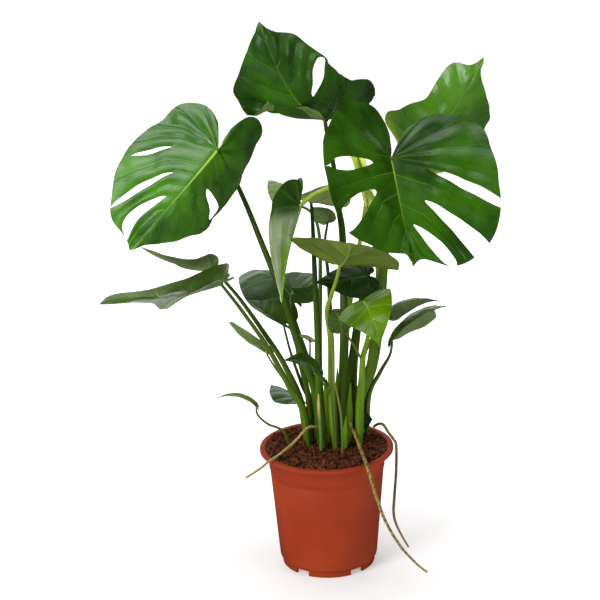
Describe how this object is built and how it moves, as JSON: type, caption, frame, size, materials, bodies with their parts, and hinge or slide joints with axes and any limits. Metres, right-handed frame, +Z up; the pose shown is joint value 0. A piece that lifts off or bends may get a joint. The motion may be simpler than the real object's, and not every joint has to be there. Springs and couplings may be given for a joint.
{
  "type": "potted monstera plant",
  "caption": "Young Swiss cheese plant with split, holed leaves on long stalks, standing in soil in a round tapered nursery pot with a rolled rim.",
  "frame": {"origin": "on the ground, under the middle of the whole plant's box; the pot's axis is 41 mm towards +X and 33 mm towards +Y of it", "axes": "+Z up; the plant's front, as pictured, faces -Y; +X to the right of that view"},
  "size_m": [0.6052, 0.4254, 0.8752],
  "materials": {
    "pot_plastic": "terracotta-orange moulded plastic, semi-matte",
    "potting_mix": "coarse dark-brown coir and bark",
    "leaf_dark_green": "glossy deep green, paler veins",
    "leaf_mid_green": "glossy mid green, yellow-green midrib",
    "leaf_light_green": "yellow-green, satin",
    "leaf_grey_green": "green with a pale grey-green sheen",
    "root_tan": "dry yellow-tan skin",
    "root_olive": "olive-brown skin",
    "root_brown": "brown skin",
    "dry_sheath": "dry papery tan"
  },
  "bodies": {
    "root": {"pot": "pot_plastic", "soil": "potting_mix", "leaf_left_large": "leaf_mid_green", "leaf_top_large": "leaf_dark_green", "leaf_front_right_large": "leaf_dark_green", "leaf_back_right_large": "leaf_mid_green", "leaf_young_pale": "leaf_light_green", "leaf_hanging": "leaf_grey_green", "leaf_canopy": "leaf_mid_green", "leaf_centre_dark": "leaf_dark_green", "leafy_shoot_right": "leaf_light_green", "leaf_right_lower": "leaf_grey_green", "leaf_left_upper": "leaf_grey_green", "leaf_left_long": "leaf_grey_green", "leaf_mid_broad": "leaf_grey_green", "leaf_mid_right": "leaf_grey_green", "leaf_mid_narrow": "leaf_grey_green", "leaf_centre_back": "leaf_grey_green", "leaf_centre_far": "leaf_light_green", "leaf_centre_small": "leaf_mid_green", "leaf_low_thin": "leaf_mid_green", "leaf_low_pale": "leaf_grey_green", "aerial_root_left": "root_tan", "aerial_root_front": "root_olive", "aerial_root_right": "root_brown", "dry_sheath_left": "dry_sheath", "dry_sheath_right": "dry_sheath"}
  },
  "joints": []
}
